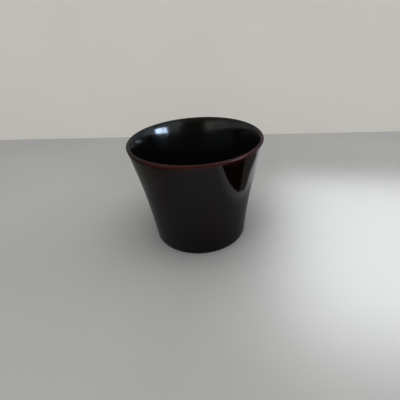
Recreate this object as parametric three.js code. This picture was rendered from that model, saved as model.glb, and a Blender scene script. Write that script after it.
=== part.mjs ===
// Lacquer cup: a turned wooden cup with a gently flared wall, built up in coats.
// Millimetres, +Z up, origin at the centre of the foot on the surface it stands on.
import * as THREE from 'three';

// ---------------------------------------------------------------- dimensions
const BASE_R = 31.0;          // outer radius of the wall, carried down to the table
const FLARE_1 = 0.0836;       // wall radius = BASE_R * (1 + FLARE_1*s + FLARE_2*s*s), s = z / BASE_R
const FLARE_2 = 0.0366;
const HEIGHT = 66.84;         // top of the lip
const LIP_R = 1.0;            // half the lip's thickness, fully rounded
const ROLL_ANGLE = 0.574;     // the lip's round ends this far (radians) above level, and
const ROLL_DOWN = 2.0;        // the inside wall straightens out from there over this depth
const BASE_CORNER_R = 1.0;    // rounded lower edge of the wall
const FOOT_FLAT_IN = 26.9;    // inner radius of the flat that the cup stands on
const FOOT_EDGE_R = 0.9;      // rounded inner edge of the foot
const RECESS_FILLET = 0.7;    // fillet inside the foot
const FLOOR_Z = 6.5;          // upper face of the floor inside the cup
const INNER_CORNER_R = 7.0;   // rounding between inside wall and floor

const LACQUER = 0.15;         // thickness of each lacquer coat
const GROUND = 0.25;          // thickness of the ground coat under it
const CLOTH = 0.25;           // thickness of the cloth bands at lip and foot
const GAP = 0.02;             // clearance between neighbouring coats

const CLOTH_DOWN = 8.0;       // how far the lip's cloth reaches down the wall
const FOOT_CLOTH_UP = 6.0;    // how far the foot's cloth reaches up the wall
const LIP_COAT_DOWN = 1.9;    // how far the lip's own coat reaches down from the top
const FOOT_COAT_UP = 2.0;     // how far the foot's coat reaches up the wall

const AROUND = 32;            // steps round the axis

// ---------------------------------------------------------------- the section
// Each sample of the section has a place p = [radius, height] and the normal n
// that points out of the material, so that every coat is an offset of it.
const wallR = (z) => BASE_R * (1 + FLARE_1 * (z / BASE_R) + FLARE_2 * (z / BASE_R) ** 2);
const wallSlope = (z) => FLARE_1 + 2 * FLARE_2 * (z / BASE_R);
const wallNormal = (z) => {
  const s = wallSlope(z), k = Math.hypot(1, s);
  return [1 / k, -s / k];
};
const solve = (f, lo, hi) => {
  for (let i = 0; i < 60; i++) {
    const mid = (lo + hi) / 2;
    if (f(mid) > 0) hi = mid; else lo = mid;
  }
  return (lo + hi) / 2;
};

const lipZ = solve((z) => z - LIP_R * wallNormal(z)[1] - (HEIGHT - LIP_R), HEIGHT - 6, HEIGHT);
const nl = wallNormal(lipZ);
const lc = [wallR(lipZ) - LIP_R * nl[0], lipZ - LIP_R * nl[1]];
// The inside wall leans like the outside wall, and rolls out softly under the lip.
const rollZ = lc[1] + LIP_R * Math.sin(ROLL_ANGLE);
const rollR = lc[0] - LIP_R * Math.cos(ROLL_ANGLE);
const ROLL = Math.tan(ROLL_ANGLE) - wallSlope(rollZ);
const inner = (z) => {
  const eased = ROLL * ROLL_DOWN * (1 - Math.exp((z - rollZ) / ROLL_DOWN));
  return [rollR - (wallR(rollZ) - wallR(z)) - eased, z];
};
const innerNormal = (z) => {
  const s = wallSlope(z) + ROLL * Math.exp((z - rollZ) / ROLL_DOWN);
  const k = Math.hypot(1, s);
  return [-1 / k, s / k];
};
const cornerZ = solve((z) => z - BASE_CORNER_R * wallNormal(z)[1] - BASE_CORNER_R, 0, 4);
const bowlZ = solve((z) => inner(z)[1] + INNER_CORNER_R * innerNormal(z)[1] - (FLOOR_Z + INNER_CORNER_R), 6, 30);

const section = [];
const mark = {};
const put = (p, n) => { section.push({ p, n }); return section.length - 1; };
const arc = (c, r, from, to, steps, side, skipFirst = true) => {
  let last;
  for (let i = skipFirst ? 1 : 0; i <= steps; i++) {
    const a = from + (to - from) * i / steps;
    const d = [Math.cos(a), Math.sin(a)];
    last = put([c[0] + r * d[0], c[1] + r * d[1]], [side * d[0], side * d[1]]);
  }
  return last;
};
const RECESS_Z = FOOT_EDGE_R + RECESS_FILLET;
const Q = Math.PI / 2;

// underside: recess, its fillet, the foot's inner edge, the flat and the corner
mark.axisBelow = put([0, RECESS_Z], [0, -1]);
mark.recessEdge = put([FOOT_FLAT_IN - FOOT_EDGE_R - RECESS_FILLET, RECESS_Z], [0, -1]);
arc([FOOT_FLAT_IN - FOOT_EDGE_R - RECESS_FILLET, FOOT_EDGE_R], RECESS_FILLET, Q, 0, 2, -1);
arc([FOOT_FLAT_IN, FOOT_EDGE_R], FOOT_EDGE_R, -2 * Q, -Q, 2, 1);
const nc = wallNormal(cornerZ);
const cc = [wallR(cornerZ) - BASE_CORNER_R * nc[0], BASE_CORNER_R];
put(cc[0] > 0 ? [cc[0], 0] : cc, [0, -1]);
mark.cornerEnd = arc(cc, BASE_CORNER_R, -Q, Math.atan2(nc[1], nc[0]), 3, 1);

// outside wall, with a sample wherever a coat or a cloth band ends
const outsideZ = [FOOT_COAT_UP, FOOT_CLOTH_UP, 17, 29, 41, 51, HEIGHT - CLOTH_DOWN, HEIGHT - LIP_COAT_DOWN];
const outsideMark = outsideZ.map((z) => put([wallR(z), z], wallNormal(z)));
[mark.footCoatEnd, mark.footClothEnd] = outsideMark;
mark.clothOut = outsideMark[6];
mark.lipOut = outsideMark[7];

// the lip
put([wallR(lipZ), lipZ], nl);
const aOut = Math.atan2(nl[1], nl[0]);
mark.lipTop = arc(lc, LIP_R, aOut, Q, 4, 1);
arc(lc, LIP_R, Q, 2 * Q - ROLL_ANGLE, 3, 1);

// inside wall, from the lip down, then the rounded corner and the floor
const insideZ = [65.8, 65.0, 63.9, 62.4, 60.6, HEIGHT - CLOTH_DOWN, 51, 41, 29, 20];
const insideMark = insideZ.map((z) => put(inner(z), innerNormal(z)));
mark.lipIn = mark.lipTop;
mark.clothIn = insideMark[5];
const nb = innerNormal(bowlZ), pb = inner(bowlZ);
const bc = [pb[0] + INNER_CORNER_R * nb[0], pb[1] + INNER_CORNER_R * nb[1]];
arc(bc, INNER_CORNER_R, Math.atan2(-nb[1], -nb[0]), -Q, 5, -1, false);
mark.axisAbove = put([0, FLOOR_Z], [0, 1]);

// ---------------------------------------------------------------- offsets
// The point of sample i at depth d under the surface, moved by `along` towards
// the following samples.
const at = (i, d, along = 0) => {
  const { p, n } = section[i];
  return new THREE.Vector2(
    Math.max(p[0] - d * n[0] - along * n[1], 0),
    p[1] - d * n[1] + along * n[0],
  );
};
const axisPoint = (i, d) => new THREE.Vector2(0, section[i].p[1] - d * section[i].n[1]);

// A coat from depth a to depth b, between the samples from and to.
const coat = (from, to, a, b) => {
  const out = [], back = [];
  for (let i = from; i <= to; i++) {
    const move = i === from && i !== mark.axisBelow ? GAP / 2
      : i === to && i !== mark.axisAbove ? -GAP / 2 : 0;
    const onAxis = i === mark.axisBelow || i === mark.axisAbove;
    out.push(onAxis ? axisPoint(i, a) : at(i, a, move));
    back.push(onAxis ? axisPoint(i, b) : at(i, b, move));
  }
  const points = [...out, ...back.reverse()];
  if (from === mark.axisBelow) {
    // runs out from the axis below and ends on it again on the inner side
    return points;
  }
  if (to === mark.axisAbove) {
    // the two axis points are neighbours: start at the one and end at the other
    const k = out.length;
    return [...points.slice(k), ...points.slice(0, k)];
  }
  return [...points, points[0].clone()];
};

const turned = (name, points, color, roughness, metalness = 0) => {
  const geometry = new THREE.LatheGeometry(points, AROUND);
  geometry.rotateX(Math.PI / 2);
  const mesh = new THREE.Mesh(geometry, new THREE.MeshStandardMaterial({ color, roughness, metalness }));
  mesh.name = name;
  return mesh;
};

const D1 = LACQUER, D2 = LACQUER + GAP, D3 = D2 + GROUND, D4 = D3 + GAP, D5 = D4 + CLOTH, D6 = D5 + GAP;

// ---------------------------------------------------------------- the wooden core
// It fills the section under the ground coat, and is let in by the cloth's
// thickness where a cloth band runs round the foot and over the lip.
const core = [];
const clothed = (i) => (i > mark.recessEdge && i < mark.footClothEnd) || (i > mark.clothOut && i < mark.clothIn);
for (let i = mark.axisBelow; i <= mark.axisAbove; i++) {
  if (i === mark.axisBelow || i === mark.axisAbove) core.push(axisPoint(i, D4));
  else if (i === mark.recessEdge || i === mark.clothOut) core.push(at(i, D4, -GAP), at(i, D6, -GAP));
  else if (i === mark.footClothEnd || i === mark.clothIn) core.push(at(i, D6, GAP), at(i, D4, GAP));
  else core.push(at(i, clothed(i) ? D6 : D4));
}

const cup = new THREE.Group();
cup.add(
  turned('wood_core', core, 0xb08a58, 0.75),
  turned('rim_cloth', coat(mark.clothOut, mark.clothIn, D4, D5), 0xcfc2a4, 0.95),
  turned('foot_cloth', coat(mark.recessEdge, mark.footClothEnd, D4, D5), 0xcfc2a4, 0.95),
  turned('base_ground_coat', coat(mark.axisBelow, mark.footCoatEnd, D2, D3), 0x3b332b, 0.9),
  turned('outer_ground_coat', coat(mark.footCoatEnd, mark.lipTop, D2, D3), 0x3b332b, 0.9),
  turned('inner_ground_coat', coat(mark.lipTop, mark.axisAbove, D2, D3), 0x3b332b, 0.9),
  turned('foot_recess_lacquer', coat(mark.axisBelow, mark.recessEdge, 0, D1), 0x0d0a0a, 0.25),
  turned('foot_ring_lacquer', coat(mark.recessEdge, mark.footCoatEnd, 0, D1), 0x120a0a, 0.3),
  turned('outer_lacquer', coat(mark.footCoatEnd, mark.lipOut, 0, D1), 0x150707, 0.12),
  turned('rim_lacquer', coat(mark.lipOut, mark.lipIn, 0, D1), 0x38110e, 0.2),
  turned('inner_lacquer', coat(mark.lipIn, mark.axisAbove, 0, D1), 0x060606, 0.1),
);

export default cup;
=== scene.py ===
import math

import bmesh
import bpy
from mathutils import Matrix, Vector


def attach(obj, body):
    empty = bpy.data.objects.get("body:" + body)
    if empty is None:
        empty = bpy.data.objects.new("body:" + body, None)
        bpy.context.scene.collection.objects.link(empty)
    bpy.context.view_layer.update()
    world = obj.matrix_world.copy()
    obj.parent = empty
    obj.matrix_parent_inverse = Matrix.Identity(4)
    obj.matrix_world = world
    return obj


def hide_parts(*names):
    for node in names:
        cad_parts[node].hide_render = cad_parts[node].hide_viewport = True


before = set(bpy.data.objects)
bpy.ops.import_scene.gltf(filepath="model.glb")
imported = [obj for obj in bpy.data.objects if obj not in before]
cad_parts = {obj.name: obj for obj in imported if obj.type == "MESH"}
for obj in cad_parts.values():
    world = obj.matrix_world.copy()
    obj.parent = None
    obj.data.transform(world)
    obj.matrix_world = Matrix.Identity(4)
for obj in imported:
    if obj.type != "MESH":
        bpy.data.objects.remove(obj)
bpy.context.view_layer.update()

# ------------------------------------------------------------------ dimensions
# The same section as the CAD part, in millimetres, sampled more finely.
BASE_R = 31.0
FLARE_1 = 0.0836
FLARE_2 = 0.0366
HEIGHT = 66.84
LIP_R = 1.0
ROLL_ANGLE = 0.574
ROLL_DOWN = 2.0
BASE_CORNER_R = 1.0
FOOT_FLAT_IN = 26.9
FOOT_EDGE_R = 0.9
RECESS_FILLET = 0.7
FLOOR_Z = 6.5
INNER_CORNER_R = 7.0
LACQUER = 0.15
GROUND = 0.25
CLOTH = 0.25
GAP = 0.02
CLOTH_DOWN = 8.0
FOOT_CLOTH_UP = 6.0
LIP_COAT_DOWN = 1.9
FOOT_COAT_UP = 2.0
AROUND = 192
MM = 0.001
Q = math.pi / 2


def wall_r(z):
    return BASE_R * (1 + FLARE_1 * (z / BASE_R) + FLARE_2 * (z / BASE_R) ** 2)


def wall_slope(z):
    return FLARE_1 + 2 * FLARE_2 * (z / BASE_R)


def wall_normal(z):
    s = wall_slope(z)
    k = math.hypot(1, s)
    return (1 / k, -s / k)


def solve(f, lo, hi):
    for _ in range(60):
        mid = (lo + hi) / 2
        if f(mid) > 0:
            hi = mid
        else:
            lo = mid
    return (lo + hi) / 2


lip_z = solve(lambda z: z - LIP_R * wall_normal(z)[1] - (HEIGHT - LIP_R), HEIGHT - 6, HEIGHT)


nl = wall_normal(lip_z)
lc = (wall_r(lip_z) - LIP_R * nl[0], lip_z - LIP_R * nl[1])
roll_z = lc[1] + LIP_R * math.sin(ROLL_ANGLE)
roll_r = lc[0] - LIP_R * math.cos(ROLL_ANGLE)
ROLL = math.tan(ROLL_ANGLE) - wall_slope(roll_z)


def inner(z):
    eased = ROLL * ROLL_DOWN * (1 - math.exp((z - roll_z) / ROLL_DOWN))
    return (roll_r - (wall_r(roll_z) - wall_r(z)) - eased, z)


def inner_normal(z):
    s = wall_slope(z) + ROLL * math.exp((z - roll_z) / ROLL_DOWN)
    k = math.hypot(1, s)
    return (-1 / k, s / k)


corner_z = solve(lambda z: z - BASE_CORNER_R * wall_normal(z)[1] - BASE_CORNER_R, 0, 4)
bowl_z = solve(lambda z: inner(z)[1] + INNER_CORNER_R * inner_normal(z)[1] - (FLOOR_Z + INNER_CORNER_R), 6, 30)

section = []
mark = {}


def put(p, n):
    section.append((p, n))
    return len(section) - 1


def arc(c, r, start, end, steps, side, first=1):
    last = None
    for i in range(first, steps + 1):
        a = start + (end - start) * i / steps
        d = (math.cos(a), math.sin(a))
        last = put((c[0] + r * d[0], c[1] + r * d[1]), (side * d[0], side * d[1]))
    return last


def spread(a, b, step):
    n = max(1, round(abs(b - a) / step))
    return [a + (b - a) * i / n for i in range(1, n + 1)]


RECESS_Z = FOOT_EDGE_R + RECESS_FILLET
edge_r = FOOT_FLAT_IN - FOOT_EDGE_R - RECESS_FILLET
mark["axis_below"] = put((0, RECESS_Z), (0, -1))
for r in spread(0, edge_r - 0.3, 1.6):
    put((r, RECESS_Z), (0, -1))
mark["recess_edge"] = put((edge_r, RECESS_Z), (0, -1))
arc((edge_r, FOOT_EDGE_R), RECESS_FILLET, Q, 0, 8, -1)
arc((FOOT_FLAT_IN, FOOT_EDGE_R), FOOT_EDGE_R, -2 * Q, -Q, 8, 1)
nc = wall_normal(corner_z)
cc = (wall_r(corner_z) - BASE_CORNER_R * nc[0], BASE_CORNER_R)
put((FOOT_FLAT_IN + 0.2, 0), (0, -1))
put(((FOOT_FLAT_IN + cc[0]) / 2, 0), (0, -1))
put((cc[0] - 0.2, 0), (0, -1))
put((cc[0], 0), (0, -1))
mark["corner_end"] = arc(cc, BASE_CORNER_R, -Q, math.atan2(nc[1], nc[0]), 10, 1)


def outside(a, b, step=1.2):
    last = None
    for z in spread(a, b, step):
        last = put((wall_r(z), z), wall_normal(z))
    return last


mark["foot_coat_end"] = outside(corner_z, FOOT_COAT_UP, 0.4)
mark["foot_cloth_end"] = outside(FOOT_COAT_UP, FOOT_CLOTH_UP)
mark["cloth_out"] = outside(FOOT_CLOTH_UP, HEIGHT - CLOTH_DOWN)
mark["lip_out"] = outside(HEIGHT - CLOTH_DOWN, HEIGHT - LIP_COAT_DOWN, 0.8)
outside(HEIGHT - LIP_COAT_DOWN, lip_z, 0.3)
a_out = math.atan2(nl[1], nl[0])
mark["lip_top"] = arc(lc, LIP_R, a_out, Q, 12, 1)
arc(lc, LIP_R, Q, 2 * Q - ROLL_ANGLE, 10, 1)


def inside(a, b, step=1.2):
    last = None
    for z in spread(a, b, step):
        last = put(inner(z), inner_normal(z))
    return last


mark["lip_in"] = mark["lip_top"]
inside(roll_z, 63.0, 0.25)
mark["cloth_in"] = inside(63.0, HEIGHT - CLOTH_DOWN, 0.6)
inside(HEIGHT - CLOTH_DOWN, bowl_z)
nb = inner_normal(bowl_z)
pb = inner(bowl_z)
bc = (pb[0] + INNER_CORNER_R * nb[0], pb[1] + INNER_CORNER_R * nb[1])
arc(bc, INNER_CORNER_R, math.atan2(-nb[1], -nb[0]), -Q, 20, -1)
for r in spread(bc[0], 0, 1.6)[:-1]:
    put((r, FLOOR_Z), (0, 1))
mark["axis_above"] = put((0, FLOOR_Z), (0, 1))


# ------------------------------------------------------------------ turned pieces
def at(i, d, along=0.0):
    p, n = section[i]
    return (max(p[0] - d * n[0] - along * n[1], 0.0), p[1] - d * n[1] + along * n[0])


def coat(start, end, a, b, ease=0.001):
    out, back = [], []
    for i in range(start, end + 1):
        if i in (mark["axis_below"], mark["axis_above"]):
            n = section[i][1]
            out.append((0.0, section[i][0][1] - a * n[1]))
            back.append((0.0, section[i][0][1] - b * n[1]))
            continue
        move = ease if i == start else (-ease if i == end else 0.0)
        out.append(at(i, a, move))
        back.append(at(i, b, move))
    return out + back[::-1]


def hand(r, z, t):
    """The slight unevenness of a cup turned and coated by hand, the same at every depth."""
    k = min(max(z / 60.0, 0.0), 1.0)
    k = k * k * (3 - 2 * k) * min(r / 20.0, 1.0)
    dr = 0.06 + 0.10 * math.cos(t - 0.2) + 0.03 * math.cos(2 * t - 0.9) + 0.010 * math.sin(5 * t + 0.4 + z * 0.05)
    dz = 0.10 * math.cos(t - 0.7) + 0.05 * math.cos(2 * t - 1.57) + 0.05 * math.cos(3 * t - 2.36)
    # inside, the roll-out under the lip is a little shallower, more so on one side
    a = min(max(wall_r(z) - r - 0.6, 0.0), 1.0)
    ease = (0.11 + 0.07 * math.cos(t - 0.5)) * (1 - math.exp(min(z - roll_z, 0.0) / ROLL_DOWN))
    dr += ease * a * a * (3 - 2 * a)
    return r + dr * k, z + dz * k ** 2


def turned(name, node, points):
    bm = bmesh.new()
    rings = []
    for r, z in points:
        if r < 1e-6:
            rings.append([bm.verts.new((0, 0, z * MM))])
            continue
        ring = []
        for j in range(AROUND):
            t = 2 * math.pi * j / AROUND
            rr, zz = hand(r, z, t)
            ring.append(bm.verts.new((rr * math.cos(t) * MM, rr * math.sin(t) * MM, zz * MM)))
        rings.append(ring)
    for k in range(len(rings)):
        a, b = rings[k], rings[(k + 1) % len(rings)]
        if len(a) == 1 and len(b) == 1:
            continue
        for j in range(AROUND):
            j2 = (j + 1) % AROUND
            if len(a) == 1:
                bm.faces.new((a[0], b[j2], b[j]))
            elif len(b) == 1:
                bm.faces.new((a[j], a[j2], b[0]))
            else:
                bm.faces.new((a[j], a[j2], b[j2], b[j]))
    bmesh.ops.recalc_face_normals(bm, faces=bm.faces)
    mesh = bpy.data.meshes.new(name)
    bm.to_mesh(mesh)
    bm.free()
    for p in mesh.polygons:
        p.use_smooth = True
    mesh.set_sharp_from_angle(angle=math.radians(40))
    obj = bpy.data.objects.new(name, mesh)
    bpy.context.scene.collection.objects.link(obj)
    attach(obj, "root")
    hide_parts(node)
    return obj


# ------------------------------------------------------------------ materials
def lin(rgb):
    return tuple((c / 255 / 12.92) if c / 255 <= 0.04045 else ((c / 255 + 0.055) / 1.055) ** 2.4 for c in rgb) + (1.0,)


class Nodes:
    def __init__(self, name):
        self.mat = bpy.data.materials.new(name)
        self.mat.use_nodes = True
        self.tree = self.mat.node_tree
        self.shader = self.tree.nodes["Principled BSDF"]

    def add(self, kind, **values):
        n = self.tree.nodes.new(kind)
        for k, v in values.items():
            if hasattr(n, k):
                setattr(n, k, v)
            else:
                n.inputs[k].default_value = v
        return n

    def link(self, a, b):
        self.tree.links.new(a, b)

    def coords(self, scale=(1, 1, 1)):
        tc = self.add("ShaderNodeTexCoord")
        mp = self.add("ShaderNodeMapping")
        mp.inputs["Scale"].default_value = scale
        self.link(tc.outputs["Object"], mp.inputs["Vector"])
        return mp.outputs["Vector"]

    def noise(self, scale, detail=3.0, rough=0.5, stretch=(1, 1, 1), distortion=0.0):
        n = self.add("ShaderNodeTexNoise")
        n.inputs["Scale"].default_value = scale
        n.inputs["Detail"].default_value = detail
        n.inputs["Roughness"].default_value = rough
        n.inputs["Distortion"].default_value = distortion
        self.link(self.coords(stretch), n.inputs["Vector"])
        return n.outputs["Fac"]

    def ramp(self, value, lo, hi, a, b):
        m = self.add("ShaderNodeMapRange")
        m.inputs["From Min"].default_value = lo
        m.inputs["From Max"].default_value = hi
        m.inputs["To Min"].default_value = a
        m.inputs["To Max"].default_value = b
        self.link(value, m.inputs["Value"])
        return m.outputs["Result"]

    def mix(self, fac, a, b, blend="MIX"):
        m = self.add("ShaderNodeMix")
        m.data_type = "RGBA"
        m.blend_type = blend
        if hasattr(fac, "links"):
            self.link(fac, m.inputs["Factor"])
        else:
            m.inputs["Factor"].default_value = fac
        for v, socket in ((a, m.inputs[6]), (b, m.inputs[7])):
            if hasattr(v, "links"):
                self.link(v, socket)
            else:
                socket.default_value = v
        return m.outputs[2]

    def math(self, op, a, b=None):
        m = self.add("ShaderNodeMath")
        m.operation = op
        for v, socket in ((a, m.inputs[0]), (b, m.inputs[1])):
            if v is None:
                continue
            if hasattr(v, "links"):
                self.link(v, socket)
            else:
                socket.default_value = v
        return m.outputs[0]

    def place(self, axis):
        tc = self.add("ShaderNodeTexCoord")
        s = self.add("ShaderNodeSeparateXYZ")
        self.link(tc.outputs["Object"], s.inputs["Vector"])
        return s.outputs[axis]

    def bump(self, *layers):
        """layers: (value, distance in metres)"""
        normal = None
        for value, distance in layers:
            b = self.add("ShaderNodeBump")
            b.inputs["Strength"].default_value = 1.0
            b.inputs["Distance"].default_value = distance
            self.link(value, b.inputs["Height"])
            if normal is not None:
                self.link(normal, b.inputs["Normal"])
            normal = b.outputs["Normal"]
        self.link(normal, self.shader.inputs["Normal"])

    def set(self, **values):
        for k, v in values.items():
            self.shader.inputs[k.replace("_", " ")].default_value = v


def lacquer(name, deep, warm, rough, wear=None, thin=None, polish=None, painted_shade_side=None):
    """A lacquer coat: cloudy depth of colour, faint unevenness, fine rubbing.
    With a shaded side given, painted shade darkens it towards one side of the cup.
    With polish, a clear sharp gloss lies over the haze of the rubbed coat under it; the haze's blue tint is painted
    light, the colour of cool window light."""
    m = Nodes(name)
    cloud = m.noise(38, 3, 0.5, (1, 1, 0.45))
    color = m.mix(m.ramp(cloud, 0.32, 0.72, 0, 1), deep, warm)
    if thin:
        z0, z1, tint = thin
        edge = m.math("ADD", m.place("Z"), m.ramp(m.noise(160, 2), 0, 1, -0.0008, 0.0008))
        color = m.mix(m.ramp(edge, z0, z1, 0, 1), color, tint)
    # painted shade: the colour is multiplied darker and less red towards one side of the cup
    if painted_shade_side:
        x0, x1, tone = painted_shade_side
        color = m.mix(m.ramp(m.place("X"), x0, x1, 1, 0), color, tone, "MULTIPLY")
    m.link(color, m.shader.inputs["Base Color"])
    fine = m.noise(900, 4, 0.6, (1, 1, 0.35))
    broad = m.noise(45, 2, 0.5)
    r = m.math("ADD", m.ramp(fine, 0.35, 0.75, rough * 0.8, rough * 1.25), m.ramp(broad, 0.4, 0.7, 0, rough * 0.4))
    if wear:
        z0, z1, amount = wear
        r = m.math("ADD", r, m.ramp(m.place("Z"), z0, z1, amount, 0))
    m.link(r, m.shader.inputs["Roughness"])
    m.bump((m.noise(26, 2, 0.4, (1, 1, 0.6)), 0.00004), (m.noise(1500, 2, 0.5), 0.0000012))
    m.set(IOR=1.5)
    if polish:
        # the bluish specular tint is painted light: the colour of cool window light in the haze
        m.set(IOR=1.75, Coat_Weight=1.0, Coat_Roughness=polish, Coat_IOR=1.3, Specular_Tint=(0.8, 0.92, 1.0, 1.0))
    return m.mat


def wood():
    m = Nodes("turned_wood")
    ringy = m.add("ShaderNodeTexWave")
    ringy.wave_type = "RINGS"
    ringy.rings_direction = "Y"
    ringy.inputs["Scale"].default_value = 55
    ringy.inputs["Distortion"].default_value = 5.0
    ringy.inputs["Detail"].default_value = 3.0
    ringy.inputs["Detail Scale"].default_value = 1.2
    m.link(m.coords((1, 0.25, 1)), ringy.inputs["Vector"])
    pores = m.noise(1400, 3, 0.6, (1, 0.06, 1))
    color = m.mix(ringy.outputs["Fac"], lin((196, 160, 112)), lin((150, 108, 66)))
    color = m.mix(m.ramp(pores, 0.52, 0.66, 0, 0.55), color, lin((104, 70, 40)))
    m.link(color, m.shader.inputs["Base Color"])
    m.link(m.ramp(pores, 0.3, 0.7, 0.6, 0.85), m.shader.inputs["Roughness"])
    m.bump((pores, 0.00006), (m.noise(600, 2, 0.5, (1, 1, 12)), 0.00002))
    return m.mat


def cloth():
    m = Nodes("band_cloth")
    weave = []
    for direction, stretch in (("X", (1, 1, 1)), ("Z", (1, 1, 1))):
        w = m.add("ShaderNodeTexWave")
        w.bands_direction = direction
        w.inputs["Scale"].default_value = 420
        w.inputs["Distortion"].default_value = 1.2
        w.inputs["Detail"].default_value = 2.0
        m.link(m.coords(stretch), w.inputs["Vector"])
        weave.append(w.outputs["Fac"])
    both = m.math("MULTIPLY", weave[0], weave[1])
    color = m.mix(m.ramp(both, 0.1, 0.8, 0, 1), lin((128, 108, 78)), lin((205, 190, 160)))
    m.link(color, m.shader.inputs["Base Color"])
    m.link(m.ramp(m.noise(500), 0.3, 0.7, 0.85, 1.0), m.shader.inputs["Roughness"])
    m.bump((both, 0.00012))
    return m.mat


def ground():
    m = Nodes("ground_coat")
    grit = m.noise(2200, 5, 0.7)
    color = m.mix(m.ramp(grit, 0.3, 0.7, 0, 1), lin((52, 44, 36)), lin((84, 72, 58)))
    m.link(color, m.shader.inputs["Base Color"])
    m.link(m.ramp(grit, 0.3, 0.7, 0.8, 0.98), m.shader.inputs["Roughness"])
    m.bump((grit, 0.00005))
    return m.mat


MAT = {
    "lacquer_outer": lacquer("dark_lacquer", lin((17, 9, 8)), lin((24, 12, 10)), 0.06,
                             thin=(0.0629, 0.0655, lin((60, 18, 16)))),
    # the lip's coat carries painted shade on its left side
    "lacquer_rim": lacquer("lip_lacquer", lin((68, 24, 25)), lin((85, 31, 31)), 0.2,
                           painted_shade_side=(-0.031, -0.021, (0.48, 1.15, 1.2, 1.0))),
    "lacquer_inner": lacquer("black_lacquer", lin((22, 21, 21)), lin((27, 26, 25)), 0.16, polish=0.04),
    "lacquer_foot": lacquer("foot_lacquer", lin((12, 7, 6)), lin((20, 10, 8)), 0.18, wear=(0.0, 0.0012, 0.25)),
    "wood": wood(),
    "cloth": cloth(),
    "ground": ground(),
}

D1 = LACQUER
D2 = D1 + GAP
D3 = D2 + GROUND
D4 = D3 + GAP
D5 = D4 + CLOTH
D6 = D5 + GAP

core = []
for i in range(mark["axis_below"], mark["axis_above"] + 1):
    n = section[i][1]
    if i in (mark["axis_below"], mark["axis_above"]):
        core.append((0.0, section[i][0][1] - D4 * n[1]))
    elif i in (mark["recess_edge"], mark["cloth_out"]):
        core += [at(i, D4, -GAP), at(i, D6, -GAP)]
    elif i in (mark["foot_cloth_end"], mark["cloth_in"]):
        core += [at(i, D6, GAP), at(i, D4, GAP)]
    else:
        banded = mark["recess_edge"] < i < mark["foot_cloth_end"] or mark["cloth_out"] < i < mark["cloth_in"]
        core.append(at(i, D6 if banded else D4))

parts = [
    ("turned_core", "wood_core", "wood", core),
    ("lip_cloth_band", "rim_cloth", "cloth", coat(mark["cloth_out"], mark["cloth_in"], D4, D5)),
    ("foot_cloth_band", "foot_cloth", "cloth", coat(mark["recess_edge"], mark["foot_cloth_end"], D4, D5)),
    ("foot_ground", "base_ground_coat", "ground", coat(mark["axis_below"], mark["foot_coat_end"], D2, D3)),
    ("outside_ground", "outer_ground_coat", "ground", coat(mark["foot_coat_end"], mark["lip_top"], D2, D3)),
    ("inside_ground", "inner_ground_coat", "ground", coat(mark["lip_top"], mark["axis_above"], D2, D3)),
    ("recess_coat", "foot_recess_lacquer", "lacquer_foot", coat(mark["axis_below"], mark["recess_edge"], 0, D1)),
    ("foot_coat", "foot_ring_lacquer", "lacquer_foot", coat(mark["recess_edge"], mark["foot_coat_end"], 0, D1)),
    ("outside_coat", "outer_lacquer", "lacquer_outer", coat(mark["foot_coat_end"], mark["lip_out"], 0, D1)),
    ("lip_coat", "rim_lacquer", "lacquer_rim", coat(mark["lip_out"], mark["lip_in"], 0, D1)),
    ("inside_coat", "inner_lacquer", "lacquer_inner", coat(mark["lip_in"], mark["axis_above"], 0, D1)),
]
for name, node, slot, points in parts:
    piece = turned(name, node, points)
    piece.data.materials.append(MAT[slot])


# ------------------------------------------------------------------ stage
def quad(name, corners, material):
    mesh = bpy.data.meshes.new(name)
    mesh.from_pydata(corners, [], [tuple(range(len(corners)))])
    obj = bpy.data.objects.new(name, mesh)
    obj.data.materials.append(material)
    bpy.context.scene.collection.objects.link(obj)
    return obj


def pale(name, rgb_a, rgb_b, scale, bump=0.0, lit=0.0):
    m = Nodes(name)
    tone = m.mix(m.ramp(m.noise(scale, 3), 0.3, 0.7, 0, 1), lin(rgb_a), lin(rgb_b))
    m.link(tone, m.shader.inputs["Base Color"])
    m.link(tone, m.shader.inputs["Emission Color"])
    m.set(Roughness=0.85, Emission_Strength=lit)
    m.shader.inputs["Specular IOR Level"].default_value = 0.2
    if bump:
        m.bump((m.noise(scale * 8, 3), bump))
    return m.mat


floor_mat = pale("pale_floor", (198, 198, 198), (205, 205, 204), 6)
wall_mat = pale("pale_backdrop", (220, 218, 213), (224, 222, 217), 5, lit=0.235)
quad("floor", [(-1.6, -0.9, 0), (1.6, -0.9, 0), (1.6, 0.6, 0), (-1.6, 0.6, 0)], floor_mat)
quad("backdrop", [(-1.5, 0.415, -0.1), (1.5, -0.035, -0.1), (1.5, -0.035, 1.2), (-1.5, 0.415, 1.2)], wall_mat)


def lamp(name, loc, target, size, radiance, color=(1, 1, 1), glossy=True, diffuse=True, spread=180, turn=0.0):
    data = bpy.data.lights.new(name, "AREA")
    data.spread = math.radians(spread)
    data.shape = "RECTANGLE"
    data.size, data.size_y = size
    data.energy = radiance * math.pi * size[0] * size[1]
    data.color = color
    obj = bpy.data.objects.new(name, data)
    d = Vector(target) - Vector(loc)
    obj.matrix_world = Matrix.Translation(loc) @ d.to_track_quat("-Z", "Y").to_matrix().to_4x4() @ Matrix.Rotation(math.radians(turn), 4, "Z")
    obj.visible_camera = False
    obj.visible_glossy = glossy
    obj.visible_diffuse = diffuse
    bpy.context.scene.collection.objects.link(obj)
    return obj


def around(az, el, dist, z0=0.06):
    """A place seen from the cup's mouth at azimuth az (0 is +Y, 90 is +X) and elevation el, dist away on the level."""
    a = math.radians(az)
    return (dist * math.sin(a), dist * math.cos(a), z0 + dist * math.tan(math.radians(el)))


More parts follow.
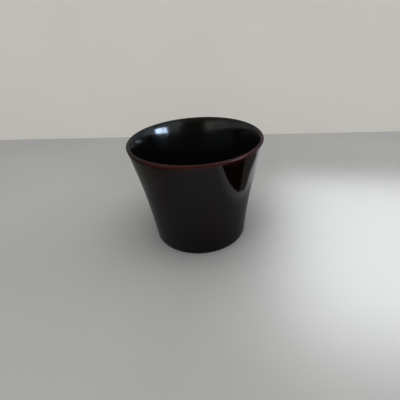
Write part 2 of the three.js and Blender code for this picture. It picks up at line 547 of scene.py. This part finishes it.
def card(name, corners, rgb):
    """A dull card lying beside the cup that only its polish mirrors."""
    m = Nodes(name + "_finish")
    m.link(m.mix(m.ramp(m.noise(30, 2), 0.3, 0.7, 0, 1), lin(rgb), lin(tuple(c * 1.1 for c in rgb))), m.shader.inputs["Base Color"])
    m.set(Roughness=0.9)
    m.shader.inputs["Specular IOR Level"].default_value = 0.0
    obj = quad(name, [(x * MM, y * MM, z * MM) for x, y, z in corners], m.mat)
    obj.visible_camera = obj.visible_diffuse = obj.visible_shadow = obj.visible_transmission = False
    return obj


def glow(name, corners, faces, rgb, radiance, shade=0.0, scale=1.0):
    """A lit surface out of the picture that the polish mirrors."""
    m = Nodes(name + "_light")
    rgb4 = tuple(rgb) + (1.0,)
    dim = tuple(c * (1 - shade) for c in rgb) + (1.0,)
    m.link(m.mix(m.ramp(m.noise(scale, 2), 0.35, 0.65, 0, 1), dim, rgb4), m.shader.inputs["Emission Color"])
    m.set(Base_Color=(0, 0, 0, 1), Emission_Strength=radiance, Roughness=1.0)
    m.shader.inputs["Specular IOR Level"].default_value = 0.0
    mesh = bpy.data.meshes.new(name)
    mesh.from_pydata(corners, [], faces)
    obj = bpy.data.objects.new(name, mesh)
    obj.data.materials.append(m.mat)
    bpy.context.scene.collection.objects.link(obj)
    obj.visible_camera = obj.visible_diffuse = obj.visible_shadow = False
    return obj


def reach(az, far=3.3):
    """How far out a part of the room stands, short of the backdrop."""
    a = math.radians(az)
    facing = 0.1483 * math.sin(a) + 0.9889 * math.cos(a)
    return min(far, 0.17 * far / 3.3 / facing) if facing > 0.0 else far


def room(name, az, el, rgb, radiance, soft=(4.0, 4.0, 0.0), far=3.3):
    """A lit part of the room that only the polish mirrors, fading out at its sides, top and bottom."""
    def ease(t):
        t = min(max(t + 0.5, 0.0), 1.0)
        return t * t * (3 - 2 * t)

    def steps(lo, hi, most):
        n = math.ceil((hi - lo) / most)
        return [lo + (hi - lo) * k / n for k in range(n + 1)]

    (a0, a1), (e0, e1) = az, el
    columns = [(a, ease((a - a0) / soft[0]) * ease((a1 - a) / soft[0])) for a in steps(a0 - soft[0] / 2, a1 + soft[0] / 2, 2.5)]
    rows = [(e, ease((e1 - e) / soft[1]) * (ease((e - e0) / soft[2]) if soft[2] else 1.0))
            for e in steps(e0 - soft[2] / 2, e1 + soft[1] / 2, 3)]
    corners = [around(a, e, reach(a, far)) for a, _ in columns for e, _ in rows]
    faces = []
    for i in range(len(columns) - 1):
        for j in range(len(rows) - 1):
            k = i * len(rows) + j
            faces.append((k, k + len(rows), k + len(rows) + 1, k + 1))
    m = Nodes(name + "_light")
    fade = m.add("ShaderNodeAttribute", attribute_name="fade")
    shine = m.add("ShaderNodeEmission")
    m.link(m.mix(m.ramp(m.noise(1.5, 2), 0.35, 0.65, 0, 1), tuple(c * 0.9 for c in rgb) + (1.0,), tuple(rgb) + (1.0,)), shine.inputs["Color"])
    shine.inputs["Strength"].default_value = radiance
    clear = m.add("ShaderNodeBsdfTransparent")
    blend = m.add("ShaderNodeMixShader")
    m.link(fade.outputs["Fac"], blend.inputs["Fac"])
    m.link(clear.outputs["BSDF"], blend.inputs[1])
    m.link(shine.outputs["Emission"], blend.inputs[2])
    m.link(blend.outputs["Shader"], m.tree.nodes["Material Output"].inputs["Surface"])
    m.tree.nodes.remove(m.shader)
    mesh = bpy.data.meshes.new(name)
    mesh.from_pydata(corners, [], faces)
    layer = mesh.attributes.new("fade", "FLOAT", "POINT")
    values = [p * q for _, p in columns for _, q in rows]
    layer.data.foreach_set("value", values)
    obj = bpy.data.objects.new(name, mesh)
    obj.data.materials.append(m.mat)
    bpy.context.scene.collection.objects.link(obj)
    obj.visible_camera = obj.visible_diffuse = obj.visible_shadow = False
    return obj


# a window of two panes to the right, seen in the inside wall; the parts of the
# room round it; and broad soft light that only the pale surfaces take
ring = [around(a, e, 4.5) for a in range(90, 291, 10) for e in (-8, 48)]
glow("room_shade", ring, [(k, k + 2, k + 3, k + 1) for k in range(0, len(ring) - 2, 2)], (1.0, 0.9, 0.75), 0.05)
room("room_top_shade", (150, 312), (26, 52), (1.3, 1.0, 0.65), 0.18, (16, 8, 16), 3.6)
room("room_right", (20, 70), (-6, 34), (0.95, 1.0, 1.1), 0.34, (14, 30, 0))
room("room_curtain", (66, 106), (-6, 29), (1.0, 1.0, 1.08), 0.74, (26, 30, 0), 3.28)
room("room_above_window", (104, 130), (12, 40), (0.9, 1.0, 1.15), 0.7, (6, 18, 0), 3.26)
room("room_reveal", (126, 151), (-6, 38), (1.0, 1.0, 1.0), 0.6, (10, 20, 0), 3.24)
room("room_reveal_top", (141, 157), (14, 30), (1.04, 1.0, 0.9), 0.92, (10, 24, 10), 3.22)
room("room_cupboard", (202.5, 222), (-6, 21), (1.22, 1.0, 0.74), 0.84, (14, 20, 0), 3.22)
room("room_far_side", (226, 306), (-6, 26), (1.06, 1.0, 0.88), 0.44, (12, 26, 0), 3.3)
room("room_back", (300, 384), (-14, 60), (1.0, 0.98, 0.94), 0.3, (12, 10, 0), 3.28)
room("room_near_side", (221.5, 246), (-6, 23), (1.03, 1.0, 0.88), 0.63, (10, 20, 0), 3.2)
room("low_front", (112, 250), (-15, -3), (1.0, 1.0, 1.0), 0.36, (24, 4, 0), 0.2)
room("low_right_front", (124, 151), (-15, -3), (0.95, 1.0, 1.05), 1.1, (8, 4, 0), 0.19)
for name, radiance, corners in (
    ("window_pane_a", 13.3, ((99.6, 16.0), (115.7, 15.6), (115.5, -1.0), (99.6, -1.0))),
    ("window_pane_b", 12.2, ((116.9, 15.6), (125.8, 14.4), (125.8, -1.0), (116.7, -1.0))),
):
    glow(name, [around(a, e, 3.0) for a, e in corners], [(0, 1, 2, 3)], (0.79, 0.86, 1.0), radiance, 0.06, 4.0)
lamp("soft_window", (0.42, 0.0, 0.30), (0.05, 0, 0), (0.30, 0.30), 0.2, (0.95, 0.98, 1.0), glossy=False)
lamp("soft_right", (0.118, -0.03, 0.07), (0.118, -0.03, 0.0), (0.13, 0.165), 0.6, (0.92, 0.97, 1.0), glossy=False, spread=80, turn=-12)
lamp("soft_left", (-0.35, -0.25, 0.35), (-0.03, -0.02, 0.0), (0.30, 0.30), 0.9, (1.0, 1.0, 0.99), glossy=False)
lamp("soft_top", (0.1, -0.1, 1.3), (0, 0.02, 0), (1.2, 1.2), 1.25, (1.0, 1.0, 1.0), glossy=False)


def mirrored_floor():
    """A glowing stand-in for the floor that only the polish mirrors: painted shade close to the cup and to the left, a
    painted pool of light where it nears its right edge.
    """
    m = Nodes("mirrored_floor_glow")
    tc = m.add("ShaderNodeTexCoord")
    xyz = m.add("ShaderNodeSeparateXYZ")
    m.link(tc.outputs["Object"], xyz.inputs["Vector"])
    away = m.add("ShaderNodeVectorMath", operation="LENGTH")
    m.link(tc.outputs["Object"], away.inputs[0])
    # painted shade round the cup's foot and towards the left; painted light towards the right edge
    near = m.ramp(away.outputs["Value"], 0.036, 0.082, 0.2, 0.465)
    left = m.ramp(xyz.outputs["X"], -0.065, -0.02, 0.63, 1.0)
    edge = m.math("SUBTRACT", xyz.outputs["X"], m.math("MULTIPLY", xyz.outputs["Y"], 0.2))
    right = m.ramp(edge, 0.059, 0.0685, 1.0, 2.0)
    light = m.math("MULTIPLY", m.math("MULTIPLY", near, left), right)
    cool = m.ramp(xyz.outputs["X"], -0.12, -0.02, 0, 1)
    tint = m.mix(cool, (1.0, 0.99, 0.9, 1.0), (0.99, 0.97, 1.01, 1.0))
    tint = m.mix(m.ramp(m.noise(6, 3), 0.3, 0.7, 0, 1), tint, (1.0, 1.0, 1.0, 1.0), "MULTIPLY")
    m.link(tint, m.shader.inputs["Emission Color"])
    m.link(light, m.shader.inputs["Emission Strength"])
    m.set(Base_Color=(0, 0, 0, 1), Roughness=1.0)
    m.shader.inputs["Specular IOR Level"].default_value = 0.0
    k = 0.0006
    obj = quad("mirrored_floor", [(-0.5, -0.5, k), (0.5, -0.5, k), (0.5, 0.19, k), (-0.5, 0.19, k)], m.mat)
    obj.visible_camera = obj.visible_diffuse = obj.visible_shadow = obj.visible_transmission = False


mirrored_floor()
# beyond the pale floor: a dark surround in front, with a brown part to the right
card("dark_surround", [(x, y, 1) for x, y in (
    (-110, 54), (-111, 26), (-105, -9), (-97, -28), (-79, -54), (-58, -74), (-37, -90), (-14, -108), (10, -112),
    (32, -104), (46, -90), (56, -74), (59, -64), (61, -54), (63.5, -43), (65.5, -32), (67, -21), (69.5, -18), (480, -18),
    (480, -480), (-480, -480), (-480, 180), (-150, 180))], (30, 24, 24))
card("brown_side", [(x, y, 1.2) for x, y in (
    (69, -18), (480, -18), (480, 100), (104, 46), (99, 36), (95, 28), (91, 19), (87, 14), (79, 8), (74, 3), (70, -4))], (108, 105, 99))

world = bpy.data.worlds.new("pale_room")
world.use_nodes = True
world.node_tree.nodes["Background"].inputs["Color"].default_value = (0.45, 0.45, 0.45, 1)
world.node_tree.nodes["Background"].inputs["Strength"].default_value = 1.0
bpy.context.scene.world = world

# ------------------------------------------------------------------ camera
# Found from the cup's outline: 22 cm from the cup, 36 degrees above the table,
# rolled a little.
F_PX = 300.0
RHO, CAM_Z = 5.697 * BASE_R * MM, 4.207 * BASE_R * MM
PITCH, YAW, ROLL = (math.radians(a) for a in (31.808, 0.315, -4.083))
fw = Vector((math.sin(YAW) * math.cos(PITCH), math.cos(YAW) * math.cos(PITCH), -math.sin(PITCH)))
rt = Vector((math.cos(YAW), -math.sin(YAW), 0))
up = rt.cross(fw)
rt2 = math.cos(ROLL) * rt + math.sin(ROLL) * up
up2 = -math.sin(ROLL) * rt + math.cos(ROLL) * up
cam = bpy.data.cameras.new("camera")
cam.sensor_width = 36.0
cam.lens = F_PX / 400.0 * 36.0
cam.clip_start = 0.01
cam.shift_x, cam.shift_y = -0.5 / 400, 0.5 / 400
camera = bpy.data.objects.new("camera", cam)
m = Matrix.Identity(4)
for row in range(3):
    m[row][0], m[row][1], m[row][2] = rt2[row], up2[row], -fw[row]
m[0][3], m[1][3], m[2][3] = 0.0, -RHO, CAM_Z
camera.matrix_world = m
bpy.context.scene.collection.objects.link(camera)
bpy.context.scene.camera = camera

bpy.context.scene.view_settings.view_transform = "Standard"
bpy.context.scene.view_settings.look = "None"
bpy.context.scene.view_settings.exposure = 0.0
# a phone's contrast: shadows fall off, light tones stay
bpy.context.scene.view_settings.use_curve_mapping = True
curves = bpy.context.scene.view_settings.curve_mapping
tone = curves.curves[3]
for x, y in ((0.01, 0.0045), (0.02, 0.0095), (0.05, 0.0245), (0.1, 0.052), (0.2, 0.12), (0.4, 0.31), (0.6, 0.54), (0.8, 0.78)):
    tone.points.new(x, y)
curves.extend = "EXTRAPOLATED"
curves.update()
